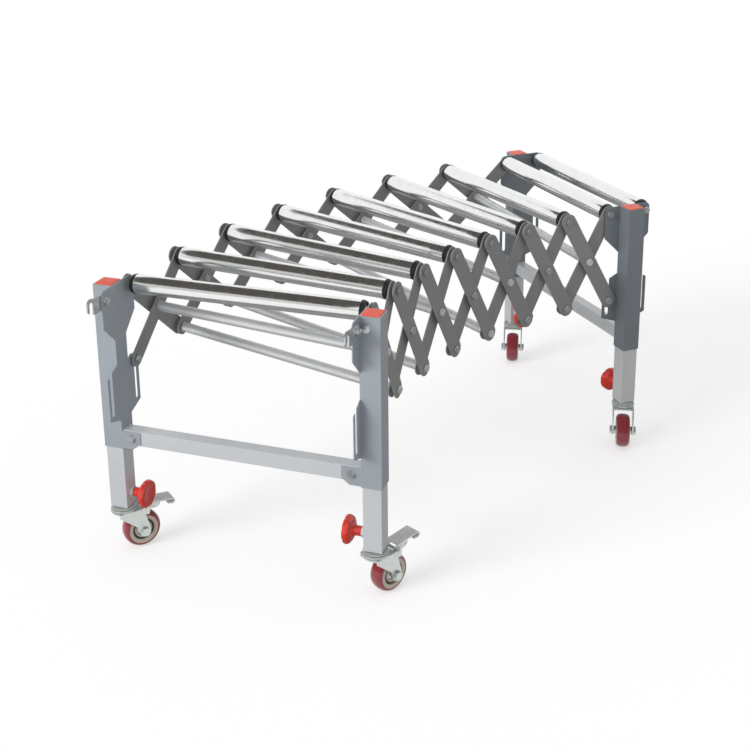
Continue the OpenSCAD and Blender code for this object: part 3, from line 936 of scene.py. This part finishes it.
@dataclass
class Knob:
    """Clamping knob of a leg: a lobed head moulded on a threaded stud."""

    corner: str
    diameter: float = 56.0
    thickness: float = 21.0
    reach: float = 41.5
    up: float = 29.0
    lobes: int = 7
    lobe_depth: float = 0.06
    lobe_power: float = 0.4
    lobe_steps: int = 18
    face_inset: float = 5.0
    neck_gap: float = 8.5
    stud_d: float = 8.0
    thread_pitch: float = 1.25
    thread_depth: float = 0.7
    side_plate: float = 243.5
    plate_t: float = 2.0
    leg_wall: float = 2.0

    @property
    def node(self) -> str:
        """Node and body of the knob, which have one name."""
        return f"knob_{self.corner}"

    @property
    def spot(self) -> Matrix:
        """Place of the knob.

        Returns:
            Its frame: Y runs from its front face towards the leg.
        """
        end, side, _ = CORNERS[self.corner]
        front = (self.side_plate + self.plate_t - self.reach) * MM
        start = Vector((LAYOUT.post_mid, front, self.up * MM - LAYOUT.leg_drop))
        return LAYOUT.at_post(end, side) @ Matrix.Translation(start)

    def head(self) -> None:
        """Moulds the head: a lobed face whose fluted flank draws in towards the neck."""
        mesh = bmesh.new()
        flat = Matrix.Rotation(-math.pi / 2, 4, "X")
        r, back = self.diameter / 2, self.thickness
        radius, depth = r - self.face_inset, 0.0
        bmesh.ops.create_circle(
            mesh,
            cap_ends=False,
            segments=self.lobes * self.lobe_steps,
            radius=radius * MM,
            matrix=flat,
        )
        for vert in mesh.verts:
            wave = 0.5 + 0.5 * math.cos(self.lobes * math.atan2(vert.co.z, vert.co.x))
            vert.co *= 1 - self.lobe_depth * (1 - wave**self.lobe_power)
        front = loop = mesh.edges[:]
        rings = [
            (r - 2.4, 0.7), (r - 0.9, 2.2), (r - 0.2, 4.2), (r, 6.4), (r - 0.4, 8.8),
            (r - 1.6, 11.0), (r - 3.8, 13.0), (r - 7.0, 14.8), (r - 10.8, 16.4), (r - 14.0, 17.8),
            (r - 15.8, back - 1.4),
        ]
        for next_radius, next_depth in rings:
            grown = bmesh.ops.extrude_edge_only(mesh, edges=loop)["geom"]
            verts = [g for g in grown if isinstance(g, bmesh.types.BMVert)]
            loop = [e for e in mesh.edges if e.verts[0] in verts and e.verts[1] in verts]
            ratio = next_radius / radius
            bmesh.ops.scale(mesh, verts=verts, vec=(ratio, 1, ratio))
            bmesh.ops.translate(mesh, verts=verts, vec=(0, (next_depth - depth) * MM, 0))
            radius, depth = next_radius, next_depth
        face = bmesh.ops.edgeloop_fill(mesh, edges=front)["faces"]
        bmesh.ops.edgeloop_fill(mesh, edges=loop)
        bmesh.ops.recalc_face_normals(mesh, faces=mesh.faces)
        bmesh.ops.inset_region(mesh, faces=face, thickness=3.5 * MM, depth=0)
        bmesh.ops.inset_region(mesh, faces=face, thickness=1.2 * MM, depth=-0.6 * MM)
        neck = self.reach - self.neck_gap
        stem = [
            (0.0, back - 4), (10.8, back - 4), (10.8, back - 1), (9.6, back + 1), (9.6, neck - 0.8),
            (9.2, neck), (0.0, neck),
        ]
        turn(mesh, stem, steps=48, closed=False)
        node = self.node
        place(mesh, self.spot)
        piece(f"{node}_head", mesh, RED_KNOB, node, [node], smooth_deg=38)

    def stud(self) -> None:
        """Turns the stud, with its thread as rings one pitch apart."""
        mesh = bmesh.new()
        crest, pitch = self.stud_d / 2, self.thread_pitch
        root = crest - self.thread_depth
        start, stop = self.reach - self.neck_gap - 1.0, self.reach + self.leg_wall - 0.1
        profile = [(0.0, start)]
        for k in range(int((stop - start) / pitch)):
            profile += [(root, start + pitch * k), (crest, start + pitch * (k + 0.5))]
        profile += [(root, stop), (0.0, stop)]
        turn(mesh, profile, steps=32, closed=False)
        node = self.node
        place(mesh, self.spot)
        piece(f"{node}_stud", mesh, ZINC, node, [node], smooth_deg=20)

    def build(self) -> None:
        """Builds the whole knob."""
        self.head()
        self.stud()


@dataclass
class Caster:
    """A swivelling caster: fork, wheel and, on the near frame, a brake pedal."""

    corner: str
    wheel_d: float = 76.0
    wheel_w: float = 30.0
    tread_t: float = 8.0
    trail: float = 32.0
    fork_in: float = 42.0
    pin_d: float = 10.0
    ring_d: float = 50.0
    ring_floor: float = 88.4
    pedal_x: float = 38.0
    pedal_z: float = 86.0
    plate_slope_deg: float = 5.2
    rib_size: tuple[float, float, float] = (34.0, 3.0, 1.4)
    rib_spot: tuple[float, float] = (33.0, 11.4)
    rib_step: float = 9.0
    rib_crest: tuple[float, float, float] = (0.94, 0.4, 1.0)

    @property
    def base(self) -> Matrix:
        """Place of the caster on the floor, with X towards the side where it trails."""
        return LAYOUT.at_caster(*CORNERS[self.corner])

    @property
    def spot(self) -> Matrix:
        """Place of the wheel, with its axle along Y."""
        return self.base @ Matrix.Translation((self.trail * MM, 0, self.wheel_d / 2 * MM))

    def wheel(self) -> None:
        """Turns the tread, the moulded wheel body and the bearing that shows in it."""
        r, w, rim = self.wheel_d / 2, self.wheel_w / 2, self.wheel_d / 2 - self.tread_t
        tread, core, groove_shade, bearing = bmesh.new(), bmesh.new(), bmesh.new(), bmesh.new()
        crown = [
            (rim, -w), (r - 6.6, -w), (r - 4.6, -w + 0.9), (r - 2.9, -w + 2.5), (r - 1.6, -w + 4.7),
            (r - 0.7, -w + 7.4), (r - 0.2, -w + 10.5), (r, -1.6),
        ]
        turn(tread, crown + mirrored(crown), steps=96)
        dish = [
            (12.6, -w + 3.2), (13.2, -w + 2.2), (17.0, -w + 1.8), (17.8, -w + 2.6),
            (17.8, -w + 7.0), (22.4, -w + 7.0), (22.4, -w + 1.4), (23.2, -w + 0.5),
            (rim - 1.2, -w + 0.1), (rim - 0.02, -w + 0.4),
        ]
        turn(core, dish + mirrored(dish), steps=96)
        # Dark ring in each groove of the wheel: painted shade
        ring = [(17.9, w - 6.8), (22.3, w - 6.8), (22.3, w - 4.4), (20.1, w - 3.9), (17.9, w - 4.4)]
        for sign in (-1, 1):
            turn(groove_shade, [(a, sign * b) for a, b in ring], steps=96)
        hub = self.fork_in / 2 - 0.5
        sleeve = [
            (self.pin_d / 2 + 0.05, -hub), (8.6, -hub), (9.0, -hub + 0.6), (9.0, -w + 3.4),
            (12.0, -w + 4.2), (12.5, -w + 6.4),
        ]
        turn(bearing, sleeve + mirrored(sleeve), steps=64)
        node = f"wheel_{self.corner}"
        for mesh in (tread, core, groove_shade, bearing):
            place(mesh, self.spot)
        piece(f"{node}_tread", tread, TREAD, node, [node], smooth_deg=50)
        piece(f"{node}_core", core, HUB_PLASTIC, node, [node], smooth_deg=40)
        piece(f"{node}_seals", groove_shade, DARK_GROOVE_SHADE, node, [node], smooth_deg=40)
        piece(f"{node}_bearing", bearing, ZINC, node, [node], smooth_deg=40)

    def swivel(self) -> None:
        """Turns the rolled beads of the two swivel rings, one over the other."""
        r, z, corner = self.ring_d / 2, self.ring_floor, self.corner
        lower = [
            (r - 2, z + 0.3), (r + 0.1, z + 0.4), (r + 0.8, z + 1.1), (r + 0.8, z + 2.0),
            (r + 0.1, z + 2.7), (r - 0.5, z + 3.0), (r + 0.1, z + 3.3), (r + 0.8, z + 4.0),
            (r + 0.8, z + 4.9), (r + 0.1, z + 5.6), (r - 2, z + 5.7),
        ]
        upper = [
            (r - 5, z + 6.6), (r - 1.4, z + 6.7), (r - 0.6, z + 7.5), (r - 0.6, z + 8.7),
            (r - 1.4, z + 9.6), (r - 2.0, z + 9.9), (r - 1.4, z + 10.3), (r - 1.0, z + 11.0),
            (r - 1.4, z + 11.7), (r - 5, z + 11.8),
        ]
        rows = [
            ("swivel", lower, f"caster_{corner}", f"fork_{corner}", "fork_zinc"),
            ("kingpin", upper, f"leg_{corner}", f"slide_leg_{corner}", "zinc_steel"),
        ]
        for word, profile, body, node, slot in rows:
            mesh = bmesh.new()
            turn(mesh, profile, steps=72)
            place(mesh, self.base @ Matrix.Rotation(math.pi / 2, 4, "X"))
            piece(f"{word}_{corner}_beads", mesh, FORK_ZINC, body, [node], smooth_deg=50)

    def pedal_ribs(self) -> None:
        """Presses three ribs along the top of the pedal."""
        mesh = bmesh.new()
        slope = Matrix.Rotation(math.radians(-self.plate_slope_deg), 4, "Y")
        size = Matrix.Diagonal((*[side * MM for side in self.rib_size], 1))
        x, z = self.rib_spot
        for y in (-self.rib_step, 0.0, self.rib_step):
            lie = Matrix.Translation(Vector((x, y, z)) * MM) @ slope
            verts = bmesh.ops.create_cube(mesh, size=1, matrix=lie @ size)["verts"]
            crest = sorted(verts, key=lambda vert: (lie.inverted() @ vert.co).z)[4:]
            bmesh.ops.scale(mesh, verts=crest, vec=self.rib_crest, space=lie.inverted())
        pedal = f"pedal_{self.corner}"
        pin = Matrix.Translation(Vector((self.pedal_x, 0, self.pedal_z)) * MM)
        pressed = Matrix.Rotation(math.radians(PRESSED[self.corner]), 4, "Y")
        place(mesh, self.base @ pin @ pressed)
        piece(f"{pedal}_ribs", mesh, PEDAL_ZINC, pedal, [pedal], edge_mm=0.25)

    def pressings(self) -> None:
        """Dresses the fork, and the pedal where there is one."""
        fork, body = f"fork_{self.corner}", f"caster_{self.corner}"
        piece(f"{fork}_dressed", node_copy(fork), FORK_ZINC, body, [fork], edge_mm=0.6)
        if self.corner in PRESSED:
            pedal = f"pedal_{self.corner}"
            mesh = node_copy(pedal)
            piece(f"{pedal}_dressed", mesh, PEDAL_ZINC, pedal, [pedal], edge_mm=0.6)
            self.pedal_ribs()

    def build(self) -> None:
        """Builds the whole caster."""
        self.wheel()
        self.swivel()
        self.pressings()


@dataclass
class SlidingLeg:
    """The leg that slides in a leg tube and carries a caster."""

    corner: str

    def build(self) -> None:
        """Dresses the leg."""
        node, body = f"slide_leg_{self.corner}", f"leg_{self.corner}"
        piece(f"{node}_dressed", node_copy(node), ZINC, body, [node], edge_mm=0.6)


@dataclass
class LinkHook:
    """A hook that links this table to the next one."""

    side: Side

    def build(self) -> None:
        """Dresses the hook."""
        node = "hook_l" if self.side is Side.LEFT else "hook_r"
        piece(f"{node}_dressed", node_copy(node), ZINC, node, [node], edge_mm=0.5)


# ---- Studio


@dataclass(frozen=True)
class Card:
    """A flat glowing card that only shiny surfaces mirror. Its sizes are in metres."""

    name: str
    colour: str
    spot: tuple[float, float, float]
    half_sides: tuple[float, float]
    tilt_deg: float = 0.0


WHITE = (1.0, 1.0, 1.0, 1.0)
# Painted reflections: glowing cards for a dark ceiling, a pale wall and a grey ground, which only
# the bright metal mirrors
CARDS = (
    Card("ceiling_reflection_card", "#55524e", (-2.0, 0.8, 3.0), (2.9, 1.8)),
    Card("wall_reflection_card", "#cfcdca", (-5.6, 0.0, 2.1), (0.9, 3.0), 90.0),
    Card("ground_reflection_card", "#8e8e8d", (1.05, -0.7, 0.1015), (2.0, 1.9)),
)


@dataclass
class Studio:
    """Pale floor, soft light and the camera. Sizes and places are in metres."""

    floor_size: float = 60.0
    floor_colour: str = "#d6d6d6"
    floor_glow: float = 0.52
    sky: float = 0.5
    key: float = 1.75
    key_angle_deg: float = 30.0
    key_heading: tuple[float, float, float] = (0.9, -0.2, -0.4)
    camera_spot: tuple[float, float, float] = (-1.8904, -1.6971, 1.3893)
    camera_yaw_deg: float = 42.82
    camera_pitch_deg: float = -16.53
    camera_roll_deg: float = -0.47
    lens_mm: float = 60.59
    sensor_mm: float = 36.0
    lens_shift: tuple[float, float] = (-0.01453, -0.2388)
    clip: tuple[float, float] = (0.05, 200.0)

    @staticmethod
    def seen(tree: Tree) -> Socket:
        """Adds a switch that is on for the camera's view, also by a shiny or clear surface.

        Args:
            tree: Node tree of the floor or of the sky.

        Returns:
            The switch's output socket.
        """
        path = add(tree, "ShaderNodeLightPath")
        shown = path.outputs["Is Camera Ray"]
        for ray in ("Is Glossy Ray", "Is Transmission Ray"):
            sockets = {0: shown, 1: path.outputs[ray]}
            shown = add(tree, "ShaderNodeMath", sockets, operation="MAXIMUM").outputs[0]
        return shown

    @staticmethod
    def sheet(name: str, mesh: bmesh.types.BMesh, material: bpy.types.Material) -> bpy.types.Object:
        """Makes a flat object of the studio, which isn't part of the table.

        Args:
            name: Name of the object.
            mesh: Its mesh. It is freed.
            material: Its material.

        Returns:
            The object.
        """
        data = bpy.data.meshes.new(name)
        mesh.to_mesh(data)
        mesh.free()
        data.materials.append(material)
        made = link(bpy.data.objects.new(name, data))
        return made

    def floor(self) -> None:
        """Lays the floor: it looks white, and keeps the table's shadow."""
        mesh = bmesh.new()
        bmesh.ops.create_grid(mesh, x_segments=1, y_segments=1, size=self.floor_size / 2)
        material, tree = empty_material("matt_white_floor")
        matt = add(tree, "ShaderNodeBsdfDiffuse", {"Color": linear(self.floor_colour)})
        sockets = {0: self.seen(tree), 1: self.floor_glow}
        glow = add(tree, "ShaderNodeMath", sockets, operation="MULTIPLY")
        lit = add(tree, "ShaderNodeEmission", {"Color": WHITE, "Strength": glow.outputs[0]})
        sockets = {0: matt.outputs["BSDF"], 1: lit.outputs["Emission"]}
        both = add(tree, "ShaderNodeAddShader", sockets)
        add(tree, "ShaderNodeOutputMaterial", {"Surface": both.outputs["Shader"]})
        self.sheet("floor", mesh, material)

    def light(self) -> None:
        """Sets the sky, which shows white, and a broad key lamp."""
        world = bpy.data.worlds.new("studio")
        bpy.context.scene.world = world
        world.use_nodes = True
        tree = world.node_tree
        tree.nodes.clear()
        sockets = {"Value": self.seen(tree), "To Min": self.sky, "To Max": 1.0}
        level = add(tree, "ShaderNodeMapRange", sockets)
        sockets = {"Color": WHITE, "Strength": level.outputs["Result"]}
        back = add(tree, "ShaderNodeBackground", sockets)
        add(tree, "ShaderNodeOutputWorld", {"Surface": back.outputs["Background"]})
        lamp = bpy.data.lights.new("key", "SUN")
        lamp.energy = self.key
        lamp.angle = math.radians(self.key_angle_deg)
        key = link(bpy.data.objects.new("key", lamp))
        key.visible_glossy = False
        key.rotation_euler = Vector(self.key_heading).to_track_quat("-Z", "Y").to_euler()

    def cards(self) -> None:
        """Hangs the cards. The camera, the diffuse light and the shadows leave them out."""
        for row in CARDS:
            material, tree = empty_material(row.name)
            shader = add(tree, "ShaderNodeEmission", {"Color": linear(row.colour)})
            add(tree, "ShaderNodeOutputMaterial", {"Surface": shader.outputs["Emission"]})
            mesh = bmesh.new()
            tilt = Matrix.Rotation(math.radians(row.tilt_deg), 4, "Y")
            spread = tilt @ Matrix.Diagonal((*row.half_sides, 1, 1))
            bmesh.ops.create_grid(mesh, x_segments=1, y_segments=1, size=1, matrix=spread)
            card = self.sheet(row.name, mesh, material)
            card.location = row.spot
            card.visible_camera = False
            card.visible_diffuse = False
            card.visible_shadow = False

    def camera(self) -> None:
        """Sets the camera at the photograph's viewing angle."""
        yaw = math.radians(self.camera_yaw_deg)
        pitch = math.radians(self.camera_pitch_deg)
        roll = math.radians(self.camera_roll_deg)
        level = math.cos(pitch)
        ahead = Vector((level * math.cos(yaw), level * math.sin(yaw), math.sin(pitch)))
        right = ahead.cross(Vector((0, 0, 1))).normalized()
        above = right.cross(ahead)
        across = math.cos(roll) * right + math.sin(roll) * above
        upward = -math.sin(roll) * right + math.cos(roll) * above
        lens = bpy.data.cameras.new("camera")
        lens.lens, lens.sensor_width = self.lens_mm, self.sensor_mm
        lens.shift_x, lens.shift_y = self.lens_shift
        lens.clip_start, lens.clip_end = self.clip
        camera = link(bpy.data.objects.new("camera", lens))
        turned = Matrix((across, upward, -ahead)).transposed().to_4x4()
        camera.matrix_world = Matrix.Translation(self.camera_spot) @ turned
        bpy.context.scene.camera = camera

    def build(self) -> None:
        """Sets up the whole studio."""
        bpy.context.scene.view_settings.view_transform = "Standard"
        self.floor()
        self.light()
        self.cards()
        self.camera()


def main() -> None:
    """Builds the table's sub-assemblies in order, then the studio."""
    logging.basicConfig(level=logging.INFO, format="%(message)s")
    for end in End:
        EndFrame(end).build()
    Lattice().build()
    for number in range(1, LAYOUT.bays + 3):
        Roller(number).build()
    for corner in CORNERS:
        SlidingLeg(corner).build()
        Knob(corner).build()
        Caster(corner).build()
    for side in Side:
        LinkHook(side).build()
    Studio().build()


if __name__ == "__main__":
    main()
